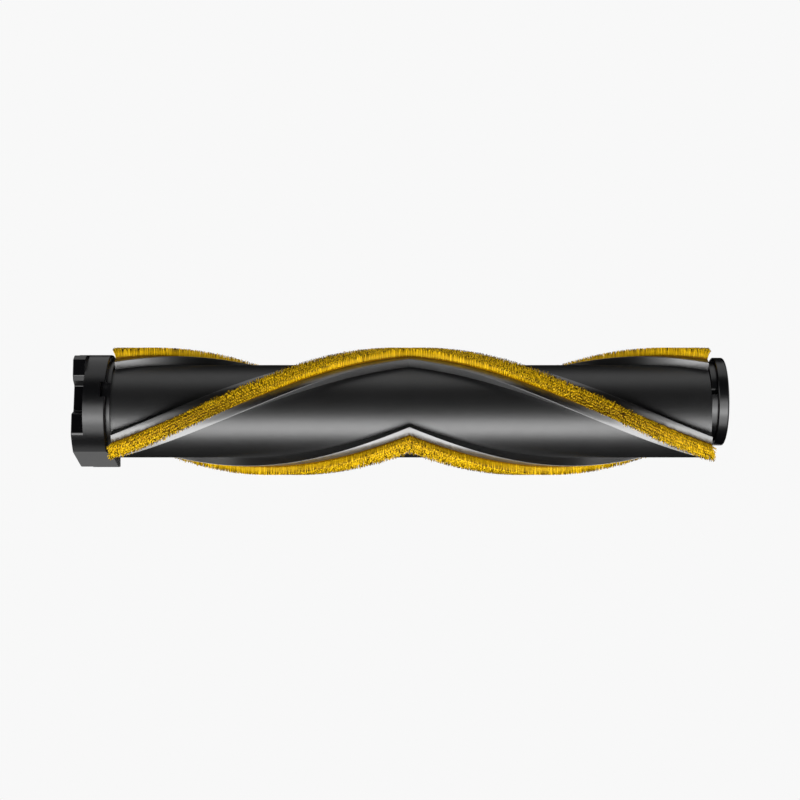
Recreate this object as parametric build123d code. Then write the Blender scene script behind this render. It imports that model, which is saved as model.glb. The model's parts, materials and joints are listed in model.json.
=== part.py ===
from build123d import *
import os

# Roller brush of a stick vacuum cleaner head: a chevron brush roll that turns between two end pieces.
# Millimetres. X runs along the roller axis from the outer face of the bearing cap (x = 0) to the
# drive end, +Z is up and -Y is the front. The origin is where the axis meets the cap's outer face.

# Brush roll
core_half_length = 99.6
core_diameter = 31.2
core_wall = 2.5
rail_count = 3
rail_height = 2.9
rail_width = 10.4
rail_root_fillet = 0.4
rail_edge_fillet = 0.3
twist_per_half = 131.0
apex_angle = 92.0
spigot_length = 1.5

# Slot in each rail, and the bristle strip that slides into it
slot_mouth = 4.9
slot_lip = 1.0
slot_undercut = 6.4
slot_height = 1.3
strip_clearance = 0.1
bristle_length = 3.0
bristle_tip_width = 6.2

# Bearing cap
cap_block_length = 4.05
cap_lip_length = 1.3
cap_lip_gap = 0.4
cap_lip_wall = 0.9
cap_wall = 2.95
cap_end_wall = 1.6
cap_hub_wall = 1.9
cap_rib_count = 6
cap_rib_width = 1.6
cap_edge_fillet = 0.5
block_edge_fillet = 0.3
block_corner_fillet = 0.35
lug_edge_fillet = 1.4

# Stepped front of the cap's outer block. Its flats lean back: each is set back from the round of the
# cap by one amount at its lower edge and by its lean more at its top.
ear_set_back = 5.15
ear_lean = 0.7
ear_top_gap = 0.35
ear_corner_depth = 2.6
ear_corner_height = 1.4
ear_bottom = 11.9
bevel_depth = 0.7
bevel_height = 1.8
recess_set_back = 6.25
recess_lean = 1.8
recess_top = 8.5
recess_bottom = 0.2
lug_set_back = 1.5
lug_lean = 1.05
lug_top = -0.7
lug_bottom = -7.4

# Flat facet and tongue under the cap, and the notch in its collar
facet_depth = 2.0
facet_tilt = 19.0
tongue_top = -15.3
tongue_back = 7.1
notch_length = 1.65
notch_bottom = 1.7
notch_top = 6.9
notch_tilt = 10.0

# Ball bearing
bearing_bore = 5.0
bearing_outer = 16.0
bearing_width = 5.0
race_wall = 1.4
ball_diameter = 3.0
ball_count = 7
ball_clearance = 0.05
cage_wall = 1.0
cage_back = 0.35
cage_finger = 0.6
shield_thickness = 0.3
shield_set_back = 0.1
shield_seat = 0.4
shield_clearance = 0.3

# Axle plug, pin, clip and seal at the cap end
pin_length = 24.0
pin_end_land = 0.5
clip_thickness = 0.6
clip_width = 1.9
clip_groove_depth = 0.5
clip_mouth = 3.4
nose_wall = 1.3
plug_flange_set_back = 0.6
plug_flange_thickness = 1.2
plug_length = 16.0
plug_wall = 1.8
plug_hub_wall = 2.5
plug_rib_count = 6
plug_rib_width = 1.6
seal_thickness = 1.4
seal_side_gap = 0.2
seal_bore_gap = 0.3

# Drive plug and the pieces on its journal
journal_diameter = 14.0
journal_end_land = 0.5
socket_diameter = 8.0
socket_depth = 9.0
socket_slot_count = 3
socket_slot_width = 1.6
socket_slot_depth = 0.9
drive_plug_length = 16.0
drive_plug_face = 3.0
washer_width = 4.0
washer_thickness = 0.8
bush_wall = 1.6
ring_thickness = 0.8
ring_width = 2.2
ring_groove_depth = 0.5
ring_mouth = 5.0

# Drive-end carrier, set above the roller axis
carrier_offset = 3.2
carrier_flange_diameter = 29.7
carrier_flange_length = 3.5
carrier_hub_diameter = 27.0
carrier_hub_length = 2.0
carrier_boss_gap = 0.7
carrier_boss_length = 6.0
carrier_recess_depth = 2.0
carrier_recess_gap = 1.5
carrier_edge_fillet = 0.6
carrier_edge_chamfer = 0.25
key_slot_width = 2.0
key_slot_height = 1.8
key_slot_tilt = 7.0
key_slot_depth = 2.2

# Fits
press_clearance = 0.02
running_clearance = 0.05
end_clearance = 0.4

# Stations along the axis, from the cap to the drive end
pin_start = cap_end_wall + end_clearance
clip_start = pin_start + pin_end_land
bearing_start = clip_start + clip_thickness
bearing_end = bearing_start + bearing_width
seal_start = bearing_end + seal_side_gap
cavity_floor = seal_start + seal_thickness + seal_side_gap
plug_face = cavity_floor + end_clearance
core_start = plug_face + plug_flange_thickness
rail_start = core_start + spigot_length
lip_end = rail_start - end_clearance
collar_end = lip_end - cap_lip_length
apex_x = core_start + core_half_length
core_end = apex_x + core_half_length
hub_start = core_end + end_clearance
boss_start = hub_start - carrier_boss_length
washer_start = boss_start - end_clearance - washer_thickness
drive_plug_start = washer_start - drive_plug_length
flange_start = hub_start + carrier_hub_length
flange_end = flange_start + carrier_flange_length
recess_floor = flange_end - carrier_recess_depth
ring_start = recess_floor + end_clearance
journal_end = ring_start + ring_thickness + journal_end_land

# Radii that several pieces share
core_radius = core_diameter / 2
bore_radius = core_radius - core_wall
rail_radius = core_radius + rail_height
bristle_radius = rail_radius + bristle_length
cavity_radius = core_radius + cap_lip_gap
cap_radius = cavity_radius + cap_wall
pin_radius = bearing_bore / 2
nose_radius = pin_radius + nose_wall
bearing_radius = bearing_outer / 2
inner_race_radius = pin_radius + race_wall
outer_race_radius = bearing_radius - race_wall
pitch_radius = (pin_radius + bearing_radius) / 2
ball_radius = ball_diameter / 2
clip_groove_radius = pin_radius - clip_groove_depth
plug_radius = bore_radius - press_clearance
plug_hub_radius = pin_radius + plug_hub_wall
journal_radius = journal_diameter / 2
ring_groove_radius = journal_radius - ring_groove_depth
ring_radius = ring_groove_radius + ring_width
bush_radius = journal_radius + running_clearance + bush_wall
carrier_hub_radius = carrier_hub_diameter / 2

# Longer than anything here, for cuts that run right through
through = 4 * cap_radius


def station(x):
    """Plane across the axis at x: its own x runs along +Y, its own y along +Z."""
    return Plane.YZ.offset(x)


def disc(start, end, radius, height=0.0):
    """Round bar along the axis, its centre raised by height."""
    return extrude(station(start) * Pos(0, height) * Circle(radius), end - start)


def tube(start, end, outer, inner):
    """Ring about the axis."""
    return extrude(station(start) * (Circle(outer) - Circle(inner)), end - start)


def block(start, end, back, front, low, high):
    """Straight bar along the axis between two depths (Y) and two heights (Z)."""
    outline = Pos((back + front) / 2, (low + high) / 2) * Rectangle(abs(front - back), high - low)
    return extrude(station(start) * outline, end - start)


def spokes(count, start, end, reach, width):
    """Equal bars from the axis out to reach, spread round it."""
    spoke = block(start, end, 0, reach, -width / 2, width / 2)
    return [Rotation(360 / count * i, 0, 0) * spoke for i in range(count)]


def open_ring(start, end, outer, inner, mouth):
    """Flat spring ring with a straight mouth at its top."""
    return tube(start, end, outer, inner) - block(start, end, -mouth / 2, mouth / 2, 0, through)


def rail_section():
    """Section of the core: a round bar with slotted rails, whose flanks point at the axis."""
    crest = ((rail_radius ** 2 - (rail_width / 2) ** 2) ** 0.5, rail_width / 2)
    wedge = Polyline((0, 0), (2 * crest[0], 2 * crest[1]), (2 * crest[0], -2 * crest[1]), close=True)
    rail = make_face(wedge) & Circle(rail_radius)
    undercut_top = rail_radius - slot_lip
    mouth = Pos(undercut_top, 0) * Rectangle(slot_lip * 2, slot_mouth, align=(Align.MIN, Align.CENTER))
    undercut = Pos(undercut_top, 0) * Rectangle(slot_height, slot_undercut, align=(Align.MAX, Align.CENTER))
    turns = [Rot(0, 0, 360 / rail_count * i) for i in range(rail_count)]
    section = Circle(core_radius) + [turn * rail for turn in turns]
    corners = section.vertices().sort_by(lambda corner: corner.center().length)
    section = fillet(corners[:2 * rail_count], rail_root_fillet)
    corners = section.vertices().sort_by(lambda corner: corner.center().length)
    section = fillet(corners[-2 * rail_count:], rail_edge_fillet)
    return section - [turn * (mouth + undercut) for turn in turns]


def strip_section():
    """Section of a bristle strip: a woven backing in the undercut and a pile that fans out of the mouth."""
    backing_top = rail_radius - slot_lip - strip_clearance
    backing_bottom = rail_radius - slot_lip - slot_height + strip_clearance
    backing_half = slot_undercut / 2 - strip_clearance
    pile_half = slot_mouth / 2 - strip_clearance
    tip_half = bristle_tip_width / 2
    side = [(backing_bottom, backing_half), (backing_top, backing_half), (backing_top, pile_half),
            (rail_radius, pile_half), (bristle_radius, tip_half), (bristle_radius + tip_half, tip_half)]
    other_side = [(u, -v) for u, v in reversed(side)]
    return make_face(Polyline(*side, *other_side, close=True)) & Circle(bristle_radius)


def twisted(section, turn, length):
    """Section turned to an angle at the apex and twisted along +X over a length."""
    face = (station(apex_x) * Rot(0, 0, turn) * section).face()
    twist = twist_per_half * length / core_half_length
    return Solid.extrude_linear_with_rotation(face, (apex_x, 0, 0), (length, 0, 0), twist)


def arm(section, turn, side):
    """One arm of the chevron: the right one as drawn, the left one mirrored at the apex."""
    if side == "right":
        return twisted(section, turn, core_end - apex_x)
    return mirror(twisted(section, turn, apex_x - rail_start), about=station(apex_x))


def roller_core():
    core = arm(rail_section(), apex_angle, "right") + arm(rail_section(), apex_angle, "left")
    core += disc(core_start, rail_start, core_radius)
    return core - disc(core_start, core_end, bore_radius)


def bristle_strip(side, index):
    return arm(strip_section(), apex_angle + 360 / rail_count * index, side)


def cap_block_outline():
    """Outer block of the cap seen along the axis: an ear, a recess and a lug on its front."""
    ear = cap_radius - ear_set_back
    ear_back = ear - ear_lean
    ear_top = cap_radius - ear_top_gap
    recess = cap_radius - recess_set_back
    lug = cap_radius - lug_set_back
    below_lug = 2 * lug_bottom - lug_top
    ear_shape = Polyline(
        (0, ear_bottom), (0, ear_top), (ear_corner_depth - ear_back, ear_top),
        (-ear_corner_depth - ear_back, ear_top - 2 * ear_corner_height),
        (-ear_corner_depth - ear_back, ear_bottom), close=True)
    front_cut = Polyline(
        (-through, through), (-ear_back, through), (-ear_back, ear_top - ear_corner_height),
        (-ear, ear_bottom), (bevel_depth - ear, ear_bottom - bevel_height),
        (recess_lean - recess, recess_top), (-recess, recess_bottom),
        (lug_lean - lug, lug_top), (-lug_lean - lug, below_lug), (-through, below_lug), close=True)
    outline = Circle(cap_radius) + make_face(ear_shape) - make_face(front_cut)
    corners = outline.vertices().filter_by(lambda spot: spot.X < -recess / 2)
    outline = fillet(corners.sort_by(Axis.Y)[0], lug_edge_fillet)
    corners = outline.vertices().filter_by(lambda spot: spot.X < -recess / 2 and spot.Y > lug_bottom / 2)
    return fillet(corners, block_corner_fillet)


def bearing_cap():
    outer_block = extrude(station(0) * cap_block_outline(), cap_block_length)
    outer_block = fillet(outer_block.edges().group_by(Axis.X)[0], block_edge_fillet)
    collar = disc(cap_block_length, collar_end, cap_radius)
    collar = fillet(collar.edges().group_by(Axis.X)[-1], cap_edge_fillet)
    tongue = block(cap_block_length, lip_end, -cap_radius, tongue_back, -cap_radius, tongue_top)
    lip = disc(cap_block_length, lip_end, cavity_radius + cap_lip_wall)
    cap = outer_block + collar + tongue + lip

    facet = block(0, lip_end, -through, through, -through, facet_depth - cap_radius)
    cap -= Rotation(-facet_tilt, 0, 0) * facet
    notch_start = collar_end - notch_length
    notch = block(notch_start, lip_end, -through, 0, notch_bottom, notch_top)
    notch = Rotation(-notch_tilt, 0, 0) * notch
    cap -= notch - disc(notch_start, lip_end, cavity_radius + cap_lip_wall / 2)

    cap -= disc(cavity_floor, lip_end, cavity_radius)
    core_out_start = cap_block_length + cap_end_wall
    core_out = tube(core_out_start, cavity_floor, cavity_radius, bearing_radius + cap_hub_wall)
    cap -= core_out - spokes(cap_rib_count, core_out_start, cavity_floor, cap_radius, cap_rib_width)
    cap -= disc(bearing_start, cavity_floor, bearing_radius + press_clearance)
    return cap - disc(cap_end_wall, bearing_start, outer_race_radius)


def ball_places():
    """Centres of the balls round the bearing."""
    middle = (bearing_start + bearing_end) / 2
    return [Rotation(360 / ball_count * i, 0, 0) * Pos(middle, 0, pitch_radius) for i in range(ball_count)]


def ball_groove():
    """Ring-shaped room that the balls run in, cut from both races."""
    middle = (bearing_start + bearing_end) / 2
    return station(middle) * Torus(pitch_radius, ball_radius + ball_clearance)


def shield_start(face):
    """Near side of the shield at one face of the bearing."""
    if face == "outer":
        return bearing_start + shield_set_back
    return bearing_end - shield_set_back - shield_thickness


def bearing_outer_race():
    race = tube(bearing_start, bearing_end, bearing_radius, outer_race_radius) - ball_groove()
    for face in ("outer", "inner"):
        start = shield_start(face)
        race -= disc(start, start + shield_thickness, outer_race_radius + shield_seat + press_clearance)
    return race


def bearing_inner_race():
    return tube(bearing_start, bearing_end, inner_race_radius, pin_radius + press_clearance) - ball_groove()


def bearing_balls():
    return Compound(children=[place * Sphere(ball_radius) for place in ball_places()])


def bearing_cage():
    """Crown cage: a thin back ring with fingers that reach in between the balls."""
    middle = (bearing_start + bearing_end) / 2
    start = middle - cage_finger
    end = middle + ball_radius + cage_back
    ring = tube(start, end, pitch_radius + cage_wall / 2, pitch_radius - cage_wall / 2)
    return ring - [place * Sphere(ball_radius + ball_clearance) for place in ball_places()]


def bearing_shield(face):
    start = shield_start(face)
    return tube(start, start + shield_thickness, outer_race_radius + shield_seat,
                inner_race_radius + shield_clearance)


def felt_seal():
    return tube(seal_start, seal_start + seal_thickness, bearing_radius, nose_radius + seal_bore_gap)


def axle_pin():
    pin = disc(pin_start, pin_start + pin_length, pin_radius)
    return pin - tube(clip_start, bearing_start, pin_radius, clip_groove_radius)


def axle_clip():
    return open_ring(clip_start, bearing_start, clip_groove_radius + clip_width,
                     clip_groove_radius + press_clearance, clip_mouth)


def hollow_plug(start, end, hub_radius):
    """Ribbed moulding inside the core: a skirt that fits the bore, a hub on the axis and ribs between."""
    skirt = tube(start, end, plug_radius, plug_radius - plug_wall)
    hub = disc(start, end, hub_radius)
    return skirt + hub + spokes(plug_rib_count, start, end, plug_radius - plug_wall / 2, plug_rib_width)


def axle_plug():
    plug = hollow_plug(core_start, core_start + plug_length, plug_hub_radius)
    plug += disc(plug_face, core_start, core_radius - plug_flange_set_back)
    plug += disc(bearing_end, plug_face, nose_radius)
    return plug - disc(bearing_end, pin_start + pin_length, pin_radius + press_clearance)


def drive_plug():
    """Plug with a journal on it: the round drive socket in its end has slots for the driver's keys."""
    plug = hollow_plug(drive_plug_start, washer_start, journal_radius)
    plug += disc(washer_start - drive_plug_face, washer_start, plug_radius)
    plug += disc(washer_start, journal_end, journal_radius)
    plug -= tube(ring_start, ring_start + ring_thickness, through, ring_groove_radius)
    socket_start = journal_end - socket_depth
    socket_radius = socket_diameter / 2
    plug -= disc(socket_start, journal_end, socket_radius)
    return plug - spokes(socket_slot_count, socket_start, journal_end,
                         socket_radius + socket_slot_depth, socket_slot_width)


def drive_washer():
    return tube(washer_start, washer_start + washer_thickness, journal_radius + washer_width,
                journal_radius + running_clearance)


def drive_bush():
    return tube(boss_start, recess_floor, bush_radius, journal_radius + running_clearance)


def drive_ring():
    return open_ring(ring_start, ring_start + ring_thickness, ring_radius,
                     ring_groove_radius + press_clearance, ring_mouth)


def drive_end_carrier():
    flange = disc(flange_start, flange_end, carrier_flange_diameter / 2, carrier_offset)
    flange = fillet(flange.edges().group_by(Axis.X)[-1], carrier_edge_fillet)
    flange = chamfer(flange.edges().group_by(Axis.X)[0], carrier_edge_chamfer)
    hub = disc(hub_start, flange_start, carrier_hub_radius, carrier_offset)
    key_slot = block(hub_start, flange_start, -through, key_slot_depth - carrier_hub_radius,
                     key_slot_height - key_slot_width / 2, key_slot_height + key_slot_width / 2)
    hub -= Pos(0, 0, carrier_offset) * Rotation(-key_slot_tilt, 0, 0) * key_slot
    boss = disc(boss_start, hub_start, bore_radius - carrier_boss_gap)
    carrier = flange + hub + boss
    carrier -= disc(boss_start, recess_floor, bush_radius + press_clearance)
    return carrier - disc(recess_floor, flange_end, ring_radius + carrier_recess_gap)


pieces = {
    "roller_core": roller_core(),
    "bearing_cap": bearing_cap(),
    "bearing_outer_race": bearing_outer_race(),
    "bearing_inner_race": bearing_inner_race(),
    "bearing_balls": bearing_balls(),
    "bearing_cage": bearing_cage(),
    "bearing_shield_outer": bearing_shield("outer"),
    "bearing_shield_inner": bearing_shield("inner"),
    "felt_seal": felt_seal(),
    "axle_plug": axle_plug(),
    "axle_pin": axle_pin(),
    "axle_clip": axle_clip(),
    "drive_plug": drive_plug(),
    "drive_washer": drive_washer(),
    "drive_bush": drive_bush(),
    "drive_ring": drive_ring(),
    "drive_end_carrier": drive_end_carrier(),
}
for strip_side in ("left", "right"):
    for strip_index in range(rail_count):
        pieces[f"bristle_strip_{strip_side}_{strip_index + 1}"] = bristle_strip(strip_side, strip_index)

os.makedirs("parts", exist_ok=True)
for name, solid in pieces.items():
    export_step(solid, f"parts/{name}.step")
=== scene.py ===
import json
import math

import bmesh
import bpy
import numpy as np
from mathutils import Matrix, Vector


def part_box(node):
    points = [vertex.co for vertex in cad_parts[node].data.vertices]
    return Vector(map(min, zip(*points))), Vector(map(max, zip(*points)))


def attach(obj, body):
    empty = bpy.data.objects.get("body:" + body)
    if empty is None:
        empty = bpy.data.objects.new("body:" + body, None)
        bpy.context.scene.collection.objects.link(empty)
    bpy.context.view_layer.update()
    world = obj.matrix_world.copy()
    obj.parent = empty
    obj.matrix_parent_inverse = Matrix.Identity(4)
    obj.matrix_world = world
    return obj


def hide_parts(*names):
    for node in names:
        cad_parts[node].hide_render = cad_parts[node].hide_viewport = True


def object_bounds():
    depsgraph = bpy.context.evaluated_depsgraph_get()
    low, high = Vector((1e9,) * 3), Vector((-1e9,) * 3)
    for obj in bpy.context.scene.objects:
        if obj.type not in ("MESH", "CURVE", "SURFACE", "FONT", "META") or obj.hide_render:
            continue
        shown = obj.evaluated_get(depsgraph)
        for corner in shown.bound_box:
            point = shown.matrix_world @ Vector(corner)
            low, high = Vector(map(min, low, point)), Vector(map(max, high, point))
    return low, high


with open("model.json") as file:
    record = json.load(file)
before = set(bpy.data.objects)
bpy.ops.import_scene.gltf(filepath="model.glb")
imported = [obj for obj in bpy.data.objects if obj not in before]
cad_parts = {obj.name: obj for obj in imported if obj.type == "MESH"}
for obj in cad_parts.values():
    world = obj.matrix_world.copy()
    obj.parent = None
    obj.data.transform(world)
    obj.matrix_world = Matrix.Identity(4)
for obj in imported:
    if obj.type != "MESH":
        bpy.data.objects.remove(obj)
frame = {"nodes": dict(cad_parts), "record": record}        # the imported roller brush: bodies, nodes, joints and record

# Metres in the frame of the solids: X along the roller axis, +Z up, -Y the front.
MM = 0.001
cad_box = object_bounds()

# Brush roll, at the sizes of its solid
core_low, core_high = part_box("roller_core")
strip_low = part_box("bristle_strip_left_1")[0]
CORE_START = core_low[0]
CORE_END = core_high[0]
RAIL_START = strip_low[0]
APEX_X = (CORE_START + CORE_END) / 2
RAIL_RADIUS = core_high[2]
PILE_RADIUS = cad_box[1][2]
CORE_RADIUS = 15.6 * MM
BORE_RADIUS = 13.1 * MM
RAIL_COUNT = 3
RAIL_HALF_WIDTH = 5.2 * MM
RAIL_EDGE_FILLET = 0.15 * MM
TWIST_PER_HALF = math.radians(131.0)
APEX_ANGLE = math.radians(92.0)
SLOT_MOUTH_HALF = 2.45 * MM
SLOT_UNDERCUT_HALF = 3.2 * MM
SLOT_LIP = 1.0 * MM
SLOT_HEIGHT = 1.3 * MM
SLOT_CORNERS = 4               # corners of the slot in half a rail's section
STRIP_CLEARANCE = 0.1 * MM

# Meshing of the core. A row of points just below a rail's edge keeps the edge's shading off the flank.
ARC_POINTS = 40
UNDER_POINTS = 8
FILLET_POINTS = 6
LAND_POINTS = 3
FLANK_MARGIN = 0.1 * MM
STATION_STEP = 0.8 * MM
WELD_DISTANCE = 1e-7

# Fibres of the pile, and the small tufts that their tips are drawn into. Jitter is a share of the spacing.
FIBRE_SEED = 7
FIBRE_SIDES = 3
FIBRE_SPACING = 0.25 * MM
FIBRE_JITTER = 0.45
FIBRE_RADIUS = 0.11 * MM
FIBRE_TIP_RADIUS = 0.10 * MM
FIBRE_KNEE = 0.55
FIBRE_BOW = 1.6
FIBRE_LENGTH_SPREAD = 0.16 * MM
FIBRE_LEAN = 0.18 * MM
FIBRE_LEVELS = ((0.0, FIBRE_RADIUS), (FIBRE_KNEE, FIBRE_RADIUS), (1.0, FIBRE_TIP_RADIUS))
TUFT_PITCH = 0.4 * MM
TUFT_JITTER = 0.3
TUFT_DRAW = 0.45
TUFT_LENGTH_SPREAD = 0.09 * MM
PILE_TIP_HALF = 3.1 * MM
PILE_BASE_HEIGHT = 0.3 * MM
END_FLARE = 1.2 * MM
END_FLARE_REACH = 3.0 * MM

# Tone of the pile, from 0 for dark to 1 for bright
# The checker of dark and bright tufts is partly the fibres' own uneven tone and partly painted shade in the
# gaps between tufts.
TUFT_CONTRAST = 0.65           # step from one tuft to the next
TUFT_TONE = 0.75               # share of a fibre's tone that comes from its tuft
SIDE_TONE = 0.22               # share of that contrast that is left down the fibres' sides
# SIDE_LEVEL lifts the fibres' sides above the tips' mean tone of 0.5: painted light.
SIDE_LEVEL = 0.62              # mean tone down the fibres' sides
TIP_TONE_POWER = 4
# Painted shade in the pile's colour: darker towards the roots, between the inner fibres and on the base.
INNER_LIGHT = 0.3              # light that gets in between the inner fibres
OPEN_POWER = 3
BASE_TONE = 0.5
BASE_LIGHT = 0.2

# Way that the dense pile faces as one surface, and its share in each fibre's own shading
PILE_FACING = 0.75
FACING_AT_ROOT = 0.15
FACING_AT_SIDE = 1.8
EDGE_TURN = 0.6

# Flat key faces on the front of the cap's outer block, and the key slot in the drive end's hub.
# A turn is the least share of a face's normal that points to the front.
CAP_BLOCK_LENGTH = 4.0 * MM
KEY_FACE_TURN = 0.955
KEY_FACE_ROUGHNESS = 0.05
KEY_SLOT_LOW = 5.5 * MM
KEY_SLOT_TURN = 0.99

# Noise in the materials: its cells to a metre, and the places of its dark and light stops
CLOUD_SCALE = 90.0
GLOSS_SCALE = 400.0
MOULD_SCALE = 2600.0
FIBRE_SCALE = 900.0
METAL_CLOUD_SCALE = 600.0
METAL_GLOSS_SCALE = 1500.0
METAL_GRAIN_SCALE = 3000.0
METAL_GRAIN = 0.002 * MM
NOISE_DARK = 0.3
NOISE_LIGHT = 0.7

# The photograph's view: 800 pixels across, measured from the image centre
PHOTO_PIXELS = 800
MM_PER_PIXEL = 0.3375
CAMERA_PIXELS_AWAY = 1800
CAMERA_X = 108.0 * MM
CAMERA_HEIGHT = 3.8 * MM
CAMERA_CLIP = 0.01

# Stage: the floor takes the part's shadow near it and runs out into the background further off
BACKGROUND_LEVEL = 0.939
FLOOR_Z = -0.5
FLOOR_HALF = 6.0
FLOOR_TONE = 0.8
FLOOR_SUN = 2.6
FLOOR_SUN_SPREAD = 50
SHADOW_REACH = 0.6
SHADOW_END = 1.3
FLAG_DISTANCE = 1.0
FLAG_HALF_LENGTH = 2.6
FLAG_OVER_FLOOR = 0.01
FILL_LEVEL = 0.05

# Lamps that stand off to the sides, by their distance along the axis from the middle or from an end
CAP_AND_DRIVE_LAMPS = 0.185
FLANK_LAMPS = 0.33
LOW_FLANK_LAMPS = 0.4
END_LAMPS = 0.5


def twist_at(x):
    """Angle of the first rail at a place along the axis."""
    return APEX_ANGLE + TWIST_PER_HALF * abs(x - APEX_X) / (CORE_END - APEX_X)


def rail_turn(index):
    """Angle of a rail from the first one."""
    return 2 * math.pi / RAIL_COUNT * index


def around(x, angle, u, v):
    """Point at u out from the axis and v across, turned about the axis by an angle."""
    return Vector((x, u * math.cos(angle) - v * math.sin(angle), u * math.sin(angle) + v * math.cos(angle)))


def arc(centre, radius, start, end, count):
    """Points of an arc in the section plane, ends included."""
    steps = [start + (end - start) * i / (count - 1) for i in range(count)]
    return [(centre[0] + radius * math.cos(a), centre[1] + radius * math.sin(a)) for a in steps]


def rail_side():
    """Half of a rail's section, from its root on the core along its radial flank to the slot's floor."""
    flank_angle = -math.asin(RAIL_HALF_WIDTH / RAIL_RADIUS)
    edge_u = math.sqrt((RAIL_RADIUS - RAIL_EDGE_FILLET) ** 2 - RAIL_EDGE_FILLET ** 2)
    edge_angle = math.atan2(RAIL_EDGE_FILLET, edge_u)
    mouth_angle = -math.asin(SLOT_MOUTH_HALF / RAIL_RADIUS)
    undercut_top = RAIL_RADIUS - SLOT_LIP
    flank = [(CORE_RADIUS, 0), (edge_u - FLANK_MARGIN, 0)]
    flank += arc((edge_u, RAIL_EDGE_FILLET), RAIL_EDGE_FILLET, -math.pi / 2, edge_angle, FILLET_POINTS)
    along, across = math.cos(flank_angle), math.sin(flank_angle)
    points = [(u * along - v * across, u * across + v * along) for u, v in flank]
    points += arc((0, 0), RAIL_RADIUS, flank_angle + edge_angle, mouth_angle, LAND_POINTS)[1:]
    points += [(undercut_top, -SLOT_MOUTH_HALF), (undercut_top, -SLOT_UNDERCUT_HALF),
               (undercut_top - SLOT_HEIGHT, -SLOT_UNDERCUT_HALF)]
    return points


def stations(start, end):
    """Places along the axis, evenly spread from start to end."""
    count = max(2, round(abs(end - start) / STATION_STEP))
    return [start + (end - start) * i / count for i in range(count + 1)]


def new_object(name, mesh, materials, body, nodes=()):
    """Adds a piece, with its materials and its body, and hides the solids it stands for."""
    piece = bpy.data.objects.new(name, mesh)
    bpy.context.scene.collection.objects.link(piece)
    for material in materials:
        mesh.materials.append(material)
    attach(piece, body)
    if nodes:
        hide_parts(*nodes)
    return piece


def sharpen(bm, first, second):
    """Makes the edge between two corners a sharp one."""
    bm.edges.get((first, second)).smooth = False


def part_meshes(bm, names):
    """Meshes of the faces of each material in turn."""
    meshes = []
    for index, name in enumerate(names):
        share = bm.copy()
        others = [face for face in share.faces if face.material_index != index]
        bmesh.ops.delete(share, geom=others, context="FACES")
        for face in share.faces:
            face.material_index = 0
        mesh = bpy.data.meshes.new(name)
        share.to_mesh(mesh)
        share.free()
        meshes.append(mesh)
    return meshes


def core_meshes():
    """The core and its rails, on a grid that follows the twist so that their gloss is even."""
    side = rail_side()
    rail = side + [(u, -v) for u, v in reversed(side)]
    slot_first = len(side) - SLOT_CORNERS
    slot_last = len(rail) - 1 - slot_first
    root_angle = math.atan2(-side[0][1], side[0][0])
    gap = 2 * math.pi / RAIL_COUNT - 2 * root_angle
    between = arc((0, 0), CORE_RADIUS, root_angle, root_angle + gap, ARC_POINTS + 2)[1:-1]
    under = arc((0, 0), CORE_RADIUS, -root_angle, root_angle, UNDER_POINTS + 2)[1:-1]
    turns = [rail_turn(index) for index in range(RAIL_COUNT)]
    outline = [(turn, u, v) for turn in turns for u, v in rail + between]
    span = len(rail) + len(between)
    size = len(outline)

    bm = bmesh.new()
    places = stations(RAIL_START, APEX_X)[:-1] + stations(APEX_X, CORE_END)
    loops = []
    for x in places:
        angle = twist_at(x)
        loops.append([bm.verts.new(around(x, angle + turn, u, v)) for turn, u, v in outline])
    for i in range(len(loops) - 1):
        for k in range(size):
            n = (k + 1) % size
            face = bm.faces.new((loops[i][k], loops[i + 1][k], loops[i + 1][n], loops[i][n]))
            face.smooth = True
            face.material_index = 1 if k % span < len(rail) - 1 else 0
    bm.edges.index_update()
    for i in range(len(loops) - 1):
        for k in range(size):
            if slot_first <= k % span <= slot_last:
                sharpen(bm, loops[i][k], loops[i + 1][k])
    apex = places.index(APEX_X)
    for k in range(size):
        if k % span < len(rail) - 1:
            sharpen(bm, loops[apex][k], loops[apex][(k + 1) % size])

    def round_loop(loop, x):
        """The core's circle at one end of the rails, sharing their corners, with the rails' end faces."""
        angle = twist_at(x)
        ring = []
        for r, turn in enumerate(turns):
            base = r * span
            rail_loop = loop[base:base + len(rail)]
            chord = [bm.verts.new(around(x, angle + turn, u, v)) for u, v in under]
            bm.faces.new(rail_loop + chord[::-1]).material_index = 1
            ring += [rail_loop[0]] + chord + [rail_loop[-1]] + loop[base + len(rail):base + span]
        return ring

    def ring_at(ring, x, radius):
        """A copy of a ring of points, moved along the axis and set to a radius."""
        copies = []
        for corner in ring:
            scale = radius / math.hypot(corner.co.y, corner.co.z)
            copies.append(bm.verts.new((x, corner.co.y * scale, corner.co.z * scale)))
        return copies

    def bridge(first, second, smooth):
        """Faces between two rings. A smooth wall between them ends in sharp edges."""
        for k in range(len(first)):
            n = (k + 1) % len(first)
            face = bm.faces.new((first[k], second[k], second[n], first[n]))
            face.smooth = smooth
        if smooth:
            for ring in (first, second):
                for k in range(len(ring)):
                    sharpen(bm, ring[k], ring[(k + 1) % len(ring)])

    right = round_loop(loops[-1], CORE_END)
    left = round_loop(loops[0], RAIL_START)
    spigot = ring_at(left, CORE_START, CORE_RADIUS)
    bridge(left, spigot, True)
    bore_right = ring_at(right, CORE_END, BORE_RADIUS)
    bore_left = ring_at(right, CORE_START, BORE_RADIUS)
    bridge(right, bore_right, False)
    bridge(bore_right, bore_left, True)
    spigot_bore = ring_at(spigot, CORE_START, BORE_RADIUS)
    bridge(spigot, spigot_bore, False)
    for loop in (loops[0], loops[-1]):
        for k in range(size):
            sharpen(bm, loop[k], loop[(k + 1) % size])
    bmesh.ops.remove_doubles(bm, verts=bm.verts, dist=WELD_DISTANCE)
    bmesh.ops.recalc_face_normals(bm, faces=bm.faces)
    meshes = part_meshes(bm, ("brush_core", "brush_rails"))
    bm.free()
    return meshes


def strip_places(side):
    """Apex and outer end of one arm's strip along the axis."""
    return (APEX_X, RAIL_START) if side == "left" else (APEX_X, CORE_END)


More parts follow.
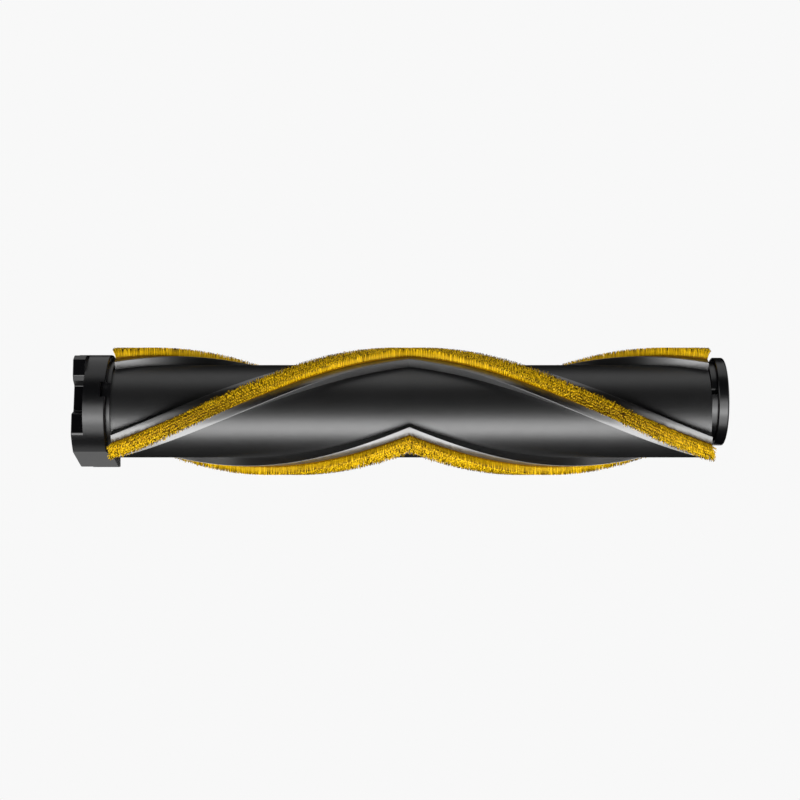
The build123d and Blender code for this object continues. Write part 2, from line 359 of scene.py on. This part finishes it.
def strip_base(side, index):
    """Corners and faces of a strip's woven backing, in the slot, and of the solid base of its pile."""
    backing_top = RAIL_RADIUS - SLOT_LIP - STRIP_CLEARANCE
    backing_bottom = RAIL_RADIUS - SLOT_LIP - SLOT_HEIGHT + STRIP_CLEARANCE
    backing_half = SLOT_UNDERCUT_HALF - STRIP_CLEARANCE
    pile_half = SLOT_MOUTH_HALF - STRIP_CLEARANCE
    base_top = RAIL_RADIUS + PILE_BASE_HEIGHT
    half_outline = [(backing_bottom, -backing_half), (backing_top, -backing_half), (backing_top, -pile_half),
                    (base_top, -pile_half)]
    outline = half_outline + [(u, -v) for u, v in reversed(half_outline)]
    places = stations(*strip_places(side))
    corners = []
    for x in places:
        angle = twist_at(x) + rail_turn(index)
        corners += [tuple(around(x, angle, u, v)) for u, v in outline]
    n = len(outline)
    faces = []
    for i in range(len(places) - 1):
        near, far = i * n, (i + 1) * n
        faces += [(near + k, far + k, far + (k + 1) % n, near + (k + 1) % n) for k in range(n)]
    last = (len(places) - 1) * n
    faces += [tuple(range(n))[::-1], tuple(range(last, last + n))]
    return corners, faces


class Pile:
    """Fibres of one strip. Each value is an array with one entry for each fibre."""

    def __init__(self, side, index):
        self.apex, end = strip_places(side)
        self.way = 1.0 if end > self.apex else -1.0
        self.length = abs(end - self.apex)
        self.half = SLOT_MOUTH_HALF - STRIP_CLEARANCE
        rng = np.random.default_rng([FIBRE_SEED, index, int(self.way > 0)])
        self.plant(rng)
        self.gather(rng)
        self.lean(rng)
        self.spin = rng.uniform(0, 2 * math.pi, self.count)
        own_tone = rng.uniform(0, 1, self.count)
        self.tone = (1 - TUFT_TONE) * own_tone + TUFT_TONE * self.tuft_tone
        self.angle = APEX_ANGLE + TWIST_PER_HALF * self.along / (CORE_END - APEX_X) + rail_turn(index)
        self.side_share = self.across / self.half

    def plant(self, rng):
        """Roots along and across the strip, on a jittered grid."""
        rows = int(self.length / FIBRE_SPACING)
        columns = int(2 * self.half / FIBRE_SPACING)
        along, across = np.meshgrid(np.arange(rows) + 0.5, np.arange(columns) + 0.5, indexing="ij")
        self.count = along.size
        along = along.ravel() + rng.uniform(-FIBRE_JITTER, FIBRE_JITTER, self.count)
        across = across.ravel() + rng.uniform(-FIBRE_JITTER, FIBRE_JITTER, self.count)
        self.along = along * self.length / rows
        self.across = (across / columns * 2 - 1) * (self.half - FIBRE_RADIUS)

    def gather(self, rng):
        """Tufts in staggered rows: the middle, tone and change of length that each gives its fibres."""
        rows = int(self.length / TUFT_PITCH) + 2
        columns = int(2 * self.half / TUFT_PITCH) + 2
        row = (self.along / TUFT_PITCH).astype(int)
        stagger = 0.5 * (row % 2)
        column = ((self.across + self.half) / TUFT_PITCH + stagger).astype(int)
        shift = rng.uniform(-TUFT_JITTER, TUFT_JITTER, (rows, columns, 2)) * TUFT_PITCH
        checker = np.add.outer(np.arange(rows), np.arange(columns)) % 2
        tone = TUFT_CONTRAST * checker + rng.uniform(0, 1 - TUFT_CONTRAST, (rows, columns))
        change = rng.normal(0, TUFT_LENGTH_SPREAD, (rows, columns))
        self.tuft_along = (row + 0.5) * TUFT_PITCH + shift[row, column, 0]
        self.tuft_across = (column + 0.5 - stagger) * TUFT_PITCH - self.half + shift[row, column, 1]
        self.tuft_tone = tone[row, column]
        self.tuft_change = change[row, column]

    def lean(self, rng):
        """Tips: drawn to their tuft, fanned out of the slot, and flared at the strip's outer end."""
        drawn = self.across + (self.tuft_across - self.across) * TUFT_DRAW
        self.tip_across = drawn * PILE_TIP_HALF / self.half + rng.normal(0, FIBRE_LEAN, self.count)
        drawn = self.along + (self.tuft_along - self.along) * TUFT_DRAW
        tip_along = drawn + rng.normal(0, FIBRE_LEAN, self.count)
        flare_start = self.length - END_FLARE_REACH
        self.flare = np.clip((self.along - flare_start) / END_FLARE_REACH, 0, 1)
        self.tip_along = np.maximum(tip_along + END_FLARE * self.flare ** 2, 0)
        shorter = np.abs(rng.normal(0, FIBRE_LENGTH_SPREAD, self.count) + self.tuft_change)
        off_middle = np.minimum(np.abs(self.tip_across), PILE_TIP_HALF)
        self.tip_out = np.minimum(PILE_RADIUS - shorter, np.sqrt(PILE_RADIUS ** 2 - off_middle ** 2))

    def turned(self, along, across, out):
        """Vectors in the frame of the solids, from their shares along, across and out of the strip."""
        y = out * np.cos(self.angle) - across * np.sin(self.angle)
        z = out * np.sin(self.angle) + across * np.cos(self.angle)
        return np.stack([along, y, z], axis=1)

    def ring(self, level, radius):
        """Corners round each fibre at a level, from 0 at its root to 1 at its tip: an array for each side."""
        bow = level ** FIBRE_BOW
        middle_along = self.along + (self.tip_along - self.along) * bow
        middle_across = self.across + (self.tip_across - self.across) * bow
        root_out = RAIL_RADIUS - SLOT_LIP / 2
        out = root_out + (self.tip_out - root_out) * level
        corners = []
        for side in range(FIBRE_SIDES):
            gamma = self.spin + 2 * math.pi / FIBRE_SIDES * side
            along = middle_along + radius * np.cos(gamma)
            across = middle_across + radius * np.sin(gamma)
            corners.append(self.turned(self.apex + self.way * along, across, out))
        return corners

    def facing(self, level):
        """Way that the pile faces as one surface: out at the tips, and sideways down its sides and end."""
        rise = 1 - FACING_AT_ROOT
        fade = 1 - rise * level / 2
        outward = (FACING_AT_ROOT + rise * level ** 2) * (1 - EDGE_TURN * self.side_share ** 2)
        sideways = FACING_AT_SIDE * self.side_share * np.abs(self.side_share) * fade
        facing = self.turned(self.way * self.flare ** 2 * fade, sideways, outward)
        return facing / np.linalg.norm(facing, axis=1, keepdims=True)

    def light(self, level):
        """Painted shade: light that gets down to a level, all of it at the tips and less between the inner
        fibres, darkens their colour.
        """
        if level == 1:
            return np.ones(self.count)
        outer_share = np.maximum(np.abs(self.side_share), self.flare) ** OPEN_POWER
        return min(level / FIBRE_KNEE, 1) * (INNER_LIGHT + (1 - INNER_LIGHT) * outer_share)

    def shade(self, level):
        """Tone at a level: the fibre's own at its tip, and more even down its sides, where its mean is lifted
        as painted light.
        """
        tip_share = level ** TIP_TONE_POWER
        side_tone = SIDE_LEVEL + (self.tone - 0.5) * SIDE_TONE
        return self.tone * tip_share + side_tone * (1 - tip_share)


def fibre_faces(way):
    """Corner numbers of one fibre's faces: its sides, ring by ring, and its tip."""
    faces = []
    for ring in range(len(FIBRE_LEVELS) - 1):
        for side in range(FIBRE_SIDES):
            a = ring * FIBRE_SIDES + side
            b = ring * FIBRE_SIDES + (side + 1) % FIBRE_SIDES
            faces.append((a, b, b + FIBRE_SIDES, a + FIBRE_SIDES))
    tip = (len(FIBRE_LEVELS) - 1) * FIBRE_SIDES
    faces.append(tuple(range(tip, tip + FIBRE_SIDES)))
    if way > 0:
        faces = [face[:1] + face[:0:-1] for face in faces]
    return faces


def pile_mesh(side, index):
    """One strip: its woven backing and base, and a pile of single fibres that fans out of the slot."""
    base_corners, faces = strip_base(side, index)
    base_count = len(base_corners)
    pile = Pile(side, index)
    corners = []
    shades = []
    lights = []
    facings = []
    for level, radius in FIBRE_LEVELS:
        corners += pile.ring(level, radius)
        shades += [pile.shade(level)] * FIBRE_SIDES
        lights += [pile.light(level)] * FIBRE_SIDES
        facings += [pile.facing(level)] * FIBRE_SIDES
    fibre_corners = np.stack(corners, axis=1).reshape(-1, 3)
    starts = base_count + np.arange(pile.count) * len(corners)
    for face in fibre_faces(pile.way):
        faces += (starts[:, None] + np.array(face)).tolist()

    mesh = bpy.data.meshes.new(f"pile_{side}_{index + 1}")
    mesh.from_pydata(base_corners + fibre_corners.tolist(), [], faces)
    # fibre_shade carries each fibre's tone with painted light and shade in it; fibre_light carries painted
    # shade towards the roots and between the inner fibres.
    shade = np.concatenate([np.full(base_count, BASE_TONE), np.stack(shades, axis=1).ravel()])
    light = np.concatenate([np.full(base_count, BASE_LIGHT), np.stack(lights, axis=1).ravel()])
    for name, values in (("fibre_shade", shade), ("fibre_light", light)):
        layer = mesh.attributes.new(name, "FLOAT", "POINT")
        layer.data.foreach_set("value", values.astype(np.float32))
    facing = np.concatenate([np.zeros((base_count, 3)), np.stack(facings, axis=1).reshape(-1, 3)])
    layer = mesh.attributes.new("pile_facing", "FLOAT_VECTOR", "POINT")
    layer.data.foreach_set("vector", facing.astype(np.float32).ravel())
    smooth = np.ones(len(mesh.polygons), dtype=bool)
    smooth[:base_count] = False        # the base's faces, and a few of the first fibres'
    mesh.polygons.foreach_set("use_smooth", smooth)
    mesh.update()
    return mesh


class Nodes:
    """Short way to build a material's node tree."""

    # Places of a mix node's two inputs and its result, by the kind of value it mixes
    MIX_SOCKETS = {"FLOAT": (2, 3, 0), "VECTOR": (4, 5, 1), "RGBA": (6, 7, 2)}

    def __init__(self, name):
        self.material = bpy.data.materials.new(name)
        self.material.use_nodes = True
        self.tree = self.material.node_tree
        self.shader = self.tree.nodes["Principled BSDF"]

    def add(self, kind, **inputs):
        """New node with values for its inputs."""
        node = self.tree.nodes.new(kind)
        for key, value in inputs.items():
            node.inputs[key.replace("_", " ")].default_value = value
        return node

    def link(self, source, target):
        """Wire from an output to an input."""
        self.tree.links.new(source, target)

    def set(self, **values):
        """Values on the shader's own sockets."""
        for key, value in values.items():
            self.shader.inputs[key.replace("_", " ")].default_value = value

    def drive(self, **sources):
        """Wires to the shader's own sockets."""
        for key, source in sources.items():
            self.link(source, self.shader.inputs[key.replace("_", " ")])

    def source(self, name):
        """Wire that one of the shader's own sockets has now."""
        return self.shader.inputs[name].links[0].from_socket

    def coordinates(self, kind):
        """Place or normal of a point in the piece's own frame."""
        return self.tree.nodes.new("ShaderNodeTexCoord").outputs[kind]

    def separate(self, vector):
        """X, Y and Z of a vector."""
        node = self.tree.nodes.new("ShaderNodeSeparateXYZ")
        self.link(vector, node.inputs["Vector"])
        return node.outputs

    def attribute(self, name):
        """Value that the mesh carries at its points."""
        node = self.tree.nodes.new("ShaderNodeAttribute")
        node.attribute_name = name
        return node.outputs

    def noise(self, scale, detail=3.0, roughness=0.5):
        """Noise in the piece's own frame, so that it stays put when the piece moves."""
        node = self.add("ShaderNodeTexNoise", Scale=scale, Detail=detail, Roughness=roughness)
        self.link(self.coordinates("Object"), node.inputs["Vector"])
        return node.outputs["Fac"]

    def ramp(self, source, stops):
        """Colours between stops, each a place and a colour."""
        node = self.tree.nodes.new("ShaderNodeValToRGB")
        while len(node.color_ramp.elements) < len(stops):
            node.color_ramp.elements.new(0.5)
        for element, (place, colour) in zip(node.color_ramp.elements, stops):
            element.position = place
            element.color = (*colour, 1.0)
        self.link(source, node.inputs["Fac"])
        return node.outputs["Color"]

    def mottle(self, scale, dark, light):
        """Colour that wanders between a dark and a light tone."""
        return self.ramp(self.noise(scale), [(NOISE_DARK, dark), (NOISE_LIGHT, light)])

    def span(self, source, low, high):
        """Value from 0 to 1 spread between low and high."""
        node = self.add("ShaderNodeMapRange", To_Min=low, To_Max=high)
        self.link(source, node.inputs["Value"])
        return node.outputs["Result"]

    def math(self, operation, first, second):
        """Operation on two values, each a wire or a number."""
        node = self.tree.nodes.new("ShaderNodeMath")
        node.operation = operation
        for socket, value in zip(node.inputs, (first, second)):
            if isinstance(value, float):
                socket.default_value = value
            else:
                self.link(value, socket)
        return node.outputs[0]

    def mix(self, kind, first, second):
        """Mix node between a wire and a second wire or number, and the node's result."""
        node = self.tree.nodes.new("ShaderNodeMix")
        node.data_type = kind
        place_first, place_second, place_result = self.MIX_SOCKETS[kind]
        self.link(first, node.inputs[place_first])
        if isinstance(second, float):
            node.inputs[place_second].default_value = second
        else:
            self.link(second, node.inputs[place_second])
        return node, node.outputs[place_result]

    def bump(self, source, depth, strength=1.0):
        """Fine relief of a depth."""
        node = self.add("ShaderNodeBump", Strength=strength, Distance=depth)
        self.link(source, node.inputs["Height"])
        self.drive(Normal=node.outputs["Normal"])


def moulded_plastic(name, dark, light, roughness, grain):
    """Black moulded plastic: a slightly uneven tone and gloss, with the mould's fine grain."""
    nodes = Nodes(name)
    nodes.drive(Base_Color=nodes.mottle(CLOUD_SCALE, dark, light))
    nodes.drive(Roughness=nodes.span(nodes.noise(GLOSS_SCALE), *roughness))
    nodes.bump(nodes.noise(MOULD_SCALE, detail=2.0), grain)
    return nodes


def core_plastic():
    """Satin barrel of the core."""
    nodes = moulded_plastic("core_satin", (0.002, 0.002, 0.0021), (0.0035, 0.0035, 0.0037),
                            (0.41, 0.47), 0.004 * MM)
    nodes.set(Specular_IOR_Level=1.0)
    return nodes.material


def rail_plastic():
    """Glossier rails."""
    nodes = moulded_plastic("rail_gloss", (0.003, 0.003, 0.0031), (0.005, 0.005, 0.0052),
                            (0.27, 0.32), 0.001 * MM)
    nodes.set(IOR=1.75, Specular_IOR_Level=1.0)
    return nodes.material


def cap_plastic():
    """The collars are satin. The key faces on the cap's block and the hub slot's floor are polished."""
    nodes = moulded_plastic("cap_satin", (0.002, 0.002, 0.0024), (0.0035, 0.0035, 0.004),
                            (0.27, 0.31), 0.002 * MM)
    nodes.set(Specular_IOR_Level=1.0)
    place = nodes.separate(nodes.coordinates("Object"))
    front = nodes.separate(nodes.coordinates("Normal"))["Y"]
    on_block = nodes.math("LESS_THAN", place["X"], CAP_BLOCK_LENGTH)
    block_flats = nodes.math("MULTIPLY", on_block, nodes.math("LESS_THAN", front, -KEY_FACE_TURN))
    past_core = nodes.math("GREATER_THAN", place["X"], CORE_END)
    on_hub = nodes.math("MULTIPLY", past_core, nodes.math("GREATER_THAN", place["Z"], KEY_SLOT_LOW))
    slot_floor = nodes.math("MULTIPLY", on_hub, nodes.math("LESS_THAN", front, -KEY_SLOT_TURN))
    polish, roughness = nodes.mix("FLOAT", nodes.source("Roughness"), KEY_FACE_ROUGHNESS)
    nodes.link(nodes.math("MAXIMUM", block_flats, slot_floor), polish.inputs["Factor"])
    nodes.drive(Roughness=roughness)
    return nodes.material


def bristle_pile():
    """Yellow nylon: each fibre has its own tone, and the dense pile is lit as one surface with soft edges."""
    nodes = Nodes("bristle_yellow")
    # Each fibre's tone: partly its own uneven tone, partly painted shade in the gaps between tufts and
    # painted light down its sides.
    tone = nodes.ramp(nodes.attribute("fibre_shade")["Fac"], [
        (0.22, (0.03, 0.015, 0.0002)), (0.5, (0.56, 0.32, 0.002)), (0.74, (1.0, 0.63, 0.01))])
    # Painted shade: the colour darkens towards the fibres' roots, between the inner fibres and on the base.
    depth = nodes.ramp(nodes.attribute("fibre_light")["Fac"], [
        (0.0, (0.10, 0.07, 0.01)), (0.22, (0.34, 0.28, 0.12)), (0.5, (1, 1, 1))])
    shadow, colour = nodes.mix("RGBA", tone, depth)
    shadow.blend_type = "MULTIPLY"
    shadow.inputs["Factor"].default_value = 1.0
    nodes.drive(Base_Color=colour, Roughness=nodes.span(nodes.noise(FIBRE_SCALE), 0.35, 0.5))
    nodes.set(Specular_IOR_Level=0.08)
    pile_facing = nodes.attribute("pile_facing")["Vector"]
    lean, facing = nodes.mix("VECTOR", nodes.coordinates("Normal"), pile_facing)
    lean.inputs["Factor"].default_value = PILE_FACING
    turn = nodes.tree.nodes.new("ShaderNodeVectorTransform")
    turn.vector_type = "NORMAL"
    turn.convert_from = "OBJECT"
    turn.convert_to = "WORLD"
    nodes.link(facing, turn.inputs["Vector"])
    nodes.drive(Normal=turn.outputs["Vector"])
    return nodes.material


def turned_metal(name, dark, light, roughness):
    """Machined metal: a slightly uneven tone and gloss, with a fine grain."""
    nodes = Nodes(name)
    nodes.drive(Base_Color=nodes.mottle(METAL_CLOUD_SCALE, dark, light),
                Roughness=nodes.span(nodes.noise(METAL_GLOSS_SCALE), *roughness))
    nodes.set(Metallic=1.0)
    nodes.bump(nodes.noise(METAL_GRAIN_SCALE), METAL_GRAIN)
    return nodes.material


def plain_matt(name, dark, light, roughness, grain, scale):
    """Matt material with a soft grain, for nylon, felt and filled plastic."""
    nodes = Nodes(name)
    nodes.drive(Base_Color=nodes.mottle(scale, dark, light),
                Roughness=nodes.span(nodes.noise(scale * 2), *roughness))
    nodes.bump(nodes.noise(scale * 3), grain)
    return nodes.material


def paint_nodes(materials):
    """Gives every carried node the material of its slot."""
    slots = {row["node"]: row["material_slot"] for row in frame["record"]["subparts"]}
    for name, node in frame["nodes"].items():
        material = materials[slots[name]]
        if not node.material_slots:
            node.data.materials.append(material)
        for slot in node.material_slots:
            slot.material = material


def grey(level):
    """Neutral colour of a level."""
    return (level, level, level, 1)


def background_rays(tree):
    """1 for rays that see the background: from the camera, and off gloss and through glass."""
    path = tree.nodes.new("ShaderNodeLightPath")
    seen = path.outputs["Is Camera Ray"]
    for kind in ("Is Glossy Ray", "Is Transmission Ray"):
        either = tree.nodes.new("ShaderNodeMath")
        either.operation = "MAXIMUM"
        tree.links.new(seen, either.inputs[0])
        tree.links.new(path.outputs[kind], either.inputs[1])
        seen = either.outputs[0]
    return seen


def stage_material():
    """Pale floor: matt paint that takes the part's shadow, which runs out into the even background."""
    material = bpy.data.materials.new("stage_pale")
    material.use_nodes = True
    tree = material.node_tree
    tree.nodes.clear()
    output = tree.nodes.new("ShaderNodeOutputMaterial")
    mix = tree.nodes.new("ShaderNodeMixShader")
    matt = tree.nodes.new("ShaderNodeBsdfDiffuse")
    matt.inputs["Color"].default_value = grey(FLOOR_TONE)
    glow = tree.nodes.new("ShaderNodeEmission")
    glow.inputs["Color"].default_value = grey(BACKGROUND_LEVEL)
    coordinates = tree.nodes.new("ShaderNodeTexCoord")
    away = tree.nodes.new("ShaderNodeVectorMath")
    away.operation = "LENGTH"
    far = tree.nodes.new("ShaderNodeMapRange")
    far.interpolation_type = "SMOOTHSTEP"
    far.inputs["From Min"].default_value = SHADOW_REACH
    far.inputs["From Max"].default_value = SHADOW_END
    both = tree.nodes.new("ShaderNodeMath")
    both.operation = "MULTIPLY"
    tree.links.new(coordinates.outputs["Object"], away.inputs[0])
    tree.links.new(away.outputs["Value"], far.inputs["Value"])
    tree.links.new(far.outputs["Result"], both.inputs[0])
    tree.links.new(background_rays(tree), both.inputs[1])
    tree.links.new(both.outputs[0], mix.inputs["Fac"])
    tree.links.new(matt.outputs["BSDF"], mix.inputs[1])
    tree.links.new(glow.outputs["Emission"], mix.inputs[2])
    tree.links.new(mix.outputs["Shader"], output.inputs["Surface"])
    return material


def panel(name, half_x, half_y, place, rotation, material):
    """Flat rectangle of the stage."""
    mesh = bpy.data.meshes.new(name)
    corners = [(-half_x, -half_y, 0), (half_x, -half_y, 0), (half_x, half_y, 0), (-half_x, half_y, 0)]
    mesh.from_pydata(corners, [], [(0, 1, 2, 3)])
    mesh.materials.append(material)
    board = bpy.data.objects.new(name, mesh)
    board.location = place
    board.rotation_euler = rotation
    bpy.context.scene.collection.objects.link(board)
    return board


def build_stage():
    """A wide pale floor below the part, and black flags that keep the pale room out of its gloss."""
    flat = (0, 0, 0)
    upright = (math.pi / 2, 0, 0)
    floor = panel("studio_floor", FLOOR_HALF, FLOOR_HALF, (CAMERA_X, 0, FLOOR_Z), flat, stage_material())
    black = Nodes("flag_black")
    black.set(Base_Color=grey(0), Specular_IOR_Level=0.0)
    places = {
        "flag_front": ((CAMERA_X, -FLAG_DISTANCE, 0), upright),
        "flag_back": ((CAMERA_X, FLAG_DISTANCE, 0), upright),
        "flag_top": ((CAMERA_X, 0, FLAG_DISTANCE), flat),
        "flag_bottom": ((CAMERA_X, 0, FLOOR_Z + FLAG_OVER_FLOOR), flat),
    }
    for name, (place, rotation) in places.items():
        flag = panel(name, FLAG_HALF_LENGTH, FLAG_DISTANCE, place, rotation, black.material)
        flag.visible_camera = False
        flag.visible_transmission = False
        flag.visible_shadow = False
    return floor


def build_world():
    """The pale background, and a low even fill to everything else."""
    world = bpy.data.worlds.new("studio_world")
    bpy.context.scene.world = world
    world.use_nodes = True
    tree = world.node_tree
    tree.nodes.clear()
    output = tree.nodes.new("ShaderNodeOutputWorld")
    mix = tree.nodes.new("ShaderNodeMixShader")
    fill = tree.nodes.new("ShaderNodeBackground")
    fill.inputs["Color"].default_value = grey(FILL_LEVEL)
    pale = tree.nodes.new("ShaderNodeBackground")
    pale.inputs["Color"].default_value = grey(BACKGROUND_LEVEL)
    tree.links.new(background_rays(tree), mix.inputs["Fac"])
    tree.links.new(fill.outputs["Background"], mix.inputs[1])
    tree.links.new(pale.outputs["Background"], mix.inputs[2])
    tree.links.new(mix.outputs["Shader"], output.inputs["Surface"])


def softbox(name, x, elevation, away, width, height, level, aim_x=CAMERA_X):
    """Area lamp at a distance away from the axis, facing it at aim_x.

    Elevation is in degrees: 0 is the front, 90 above, 180 the back. Level is its brightness as a surface.
    """
    data = bpy.data.lights.new(name, "AREA")
    data.shape = "RECTANGLE"
    data.size = width
    data.size_y = height
    data.energy = level * math.pi * width * height
    lamp = bpy.data.objects.new(name, data)
    tilt = math.radians(elevation)
    lamp.location = (x, -away * math.cos(tilt), away * math.sin(tilt))
    aim = Vector((aim_x, 0, 0)) - lamp.location
    lamp.rotation_euler = aim.to_track_quat("-Z", "Y").to_euler()
    lamp.visible_camera = False
    bpy.context.scene.collection.objects.link(lamp)
    return lamp


def chosen(name, pieces):
    """Collection of pieces for a lamp to name."""
    group = bpy.data.collections.new(name)
    for piece in pieces:
        group.objects.link(piece)
    return group


def light_only(lamp, pieces):
    """Lets a lamp light these pieces alone."""
    lamp.light_linking.receiver_collection = chosen(lamp.name + "_receivers", pieces)


def light_floor(floor):
    """A wide soft sun for the floor alone."""
    data = bpy.data.lights.new("floor_sun", "SUN")
    data.energy = FLOOR_SUN
    data.angle = math.radians(FLOOR_SUN_SPREAD)
    sun = bpy.data.objects.new("floor_sun", data)
    bpy.context.scene.collection.objects.link(sun)
    light_only(sun, [floor])


def build_lights(core, rails, piles, floor):
    """Lamps for single pieces draw the highlights that the photograph shows. Plain fills light everything."""
    middle = CAMERA_X
    left = middle - CAP_AND_DRIVE_LAMPS
    right = middle + CAP_AND_DRIVE_LAMPS
    far_end = cad_box[1][0]
    drive = [frame["nodes"][name] for name in ("drive_end_carrier", "drive_bush", "drive_ring", "drive_plug")]
    cap = [frame["nodes"][name] for name in frame["record"]["behaviour"]["bodies"]["cap"]]
    for lamp in (
        softbox("core_key", middle, -41, 0.45, 0.6, 0.30, 6.6),
        softbox("core_top", middle, 88, 0.5, 0.8, 0.4, 0.75),
    ):
        light_only(lamp, [core])
    for lamp in (
        softbox("rail_key", middle, -48, 0.45, 0.42, 0.40, 5.0),
        softbox("rail_mid", middle, -12, 0.45, 0.42, 0.16, 1.2),
        softbox("rail_left", middle - FLANK_LAMPS, -46, 0.5, 0.28, 0.6, 0.9),
        softbox("rail_right", middle + FLANK_LAMPS, -46, 0.5, 0.28, 0.6, 0.9),
        softbox("rail_top", middle, 83, 0.5, 0.44, 0.5, 0.9),
    ):
        light_only(lamp, [rails])
    # These name the cap alone as what shades them.
    for lamp in (
        softbox("rail_under", middle, -88, 0.45, 0.9, 0.3, 2.4),
        softbox("rail_low", middle, -128, 0.45, 0.8, 0.45, 2.2),
        softbox("rail_low_left", middle - LOW_FLANK_LAMPS, -105, 0.45, 0.3, 0.5, 5.0),
        softbox("rail_low_right", middle + LOW_FLANK_LAMPS, -105, 0.45, 0.3, 0.5, 5.0),
    ):
        light_only(lamp, [rails])
        lamp.light_linking.blocker_collection = chosen(lamp.name + "_blockers", cap)
    for lamp in (
        softbox("cap_key", left, -14, 0.45, 0.24, 0.13, 2.4, aim_x=0.0),
        softbox("cap_body", left, -16, 0.45, 0.24, 0.48, 1.7, aim_x=0.0),
        softbox("cap_top", left, 108, 0.45, 0.4, 0.65, 0.45, aim_x=0.0),
        softbox("cap_low", left, -113, 0.4, 0.4, 0.6, 0.55, aim_x=0.0),
    ):
        light_only(lamp, cap)
    for lamp in (
        softbox("drive_key", right, -26, 0.45, 0.24, 0.13, 2.9, aim_x=far_end),
        softbox("drive_body", right, -29, 0.45, 0.24, 0.6, 2.1, aim_x=far_end),
        softbox("drive_top", right, 95, 0.45, 0.4, 0.25, 0.6, aim_x=far_end),
    ):
        light_only(lamp, drive)
    for lamp in (
        softbox("pile_key", middle, -28, 0.6, 0.7, 0.3, 4.6),
        softbox("pile_top", middle, 75, 0.6, 0.7, 0.3, 2.2),
    ):
        light_only(lamp, piles)
    light_only(softbox("back_key", middle, 180, 0.5, 0.7, 0.12, 4.0), [core, rails])
    light_only(softbox("back_ends", middle, -165, 0.5, 0.9, 0.12, 2.5), cap + drive)
    light_only(softbox("cap_end", -END_LAMPS, 165, 0.35, 0.5, 0.5, 1.0, aim_x=0.0), cap)
    light_only(softbox("drive_end", far_end + END_LAMPS, 165, 0.35, 0.5, 0.5, 1.0, aim_x=far_end), drive)
    for lamp in (
        softbox("fill_front", middle, -8, 0.8, 0.9, 0.6, 3.6),
        softbox("fill_low", middle, -58, 0.6, 0.8, 0.4, 2.6),
        softbox("fill_top", middle, 95, 0.7, 0.9, 0.5, 0.9),
        softbox("fill_back", middle, -172, 0.8, 0.9, 0.6, 3.0),
    ):
        lamp.visible_glossy = False
    light_floor(floor)


def build_camera():
    """Level camera in front of the roller, at the photograph's distance."""
    data = bpy.data.cameras.new("photo_camera")
    data.sensor_fit = "HORIZONTAL"
    data.angle = 2 * math.atan(PHOTO_PIXELS / 2 / CAMERA_PIXELS_AWAY)
    data.clip_start = CAMERA_CLIP
    camera = bpy.data.objects.new("photo_camera", data)
    camera.location = (CAMERA_X, -CAMERA_PIXELS_AWAY * MM_PER_PIXEL * MM, CAMERA_HEIGHT)
    camera.rotation_euler = (math.pi / 2, 0, 0)
    bpy.context.scene.collection.objects.link(camera)
    bpy.context.scene.camera = camera


bpy.context.scene.view_settings.view_transform = "Standard"
build_camera()
build_world()
studio_floor = build_stage()

core_satin = core_plastic()
bristle_yellow = bristle_pile()
paint_nodes({
    "core_plastic": core_satin,
    "cap_plastic": cap_plastic(),
    "plug_plastic": plain_matt("plug_matt", (0.012, 0.012, 0.012), (0.02, 0.02, 0.02),
                               (0.5, 0.6), 0.006 * MM, 300.0),
    "bristles": bristle_yellow,
    "bearing_steel": turned_metal("bearing_steel", (0.52, 0.52, 0.53), (0.66, 0.66, 0.67), (0.15, 0.25)),
    "pin_steel": turned_metal("pin_steel", (0.40, 0.40, 0.41), (0.52, 0.52, 0.53), (0.28, 0.38)),
    "cage_plastic": plain_matt("nylon", (0.62, 0.59, 0.51), (0.72, 0.69, 0.61),
                               (0.4, 0.5), 0.004 * MM, 400.0),
    "bush_bronze": turned_metal("bush_bronze", (0.42, 0.26, 0.10), (0.56, 0.37, 0.17), (0.35, 0.5)),
    "felt": plain_matt("felt", (0.20, 0.19, 0.18), (0.34, 0.33, 0.31), (0.9, 0.95), 0.05 * MM, 1500.0),
})

core_shape, rail_shape = core_meshes()
brush_core = new_object("brush_core", core_shape, [core_satin], "roller", ["roller_core"])
brush_rails = new_object("brush_rails", rail_shape, [rail_plastic()], "roller",
                         ["roller_core"])
piles = []
for strip_side in ("left", "right"):
    for strip_index in range(RAIL_COUNT):
        strip = f"{strip_side}_{strip_index + 1}"
        piles.append(new_object(f"pile_{strip}", pile_mesh(strip_side, strip_index), [bristle_yellow],
                                "roller", [f"bristle_strip_{strip}"]))
build_lights(brush_core, brush_rails, piles, studio_floor)
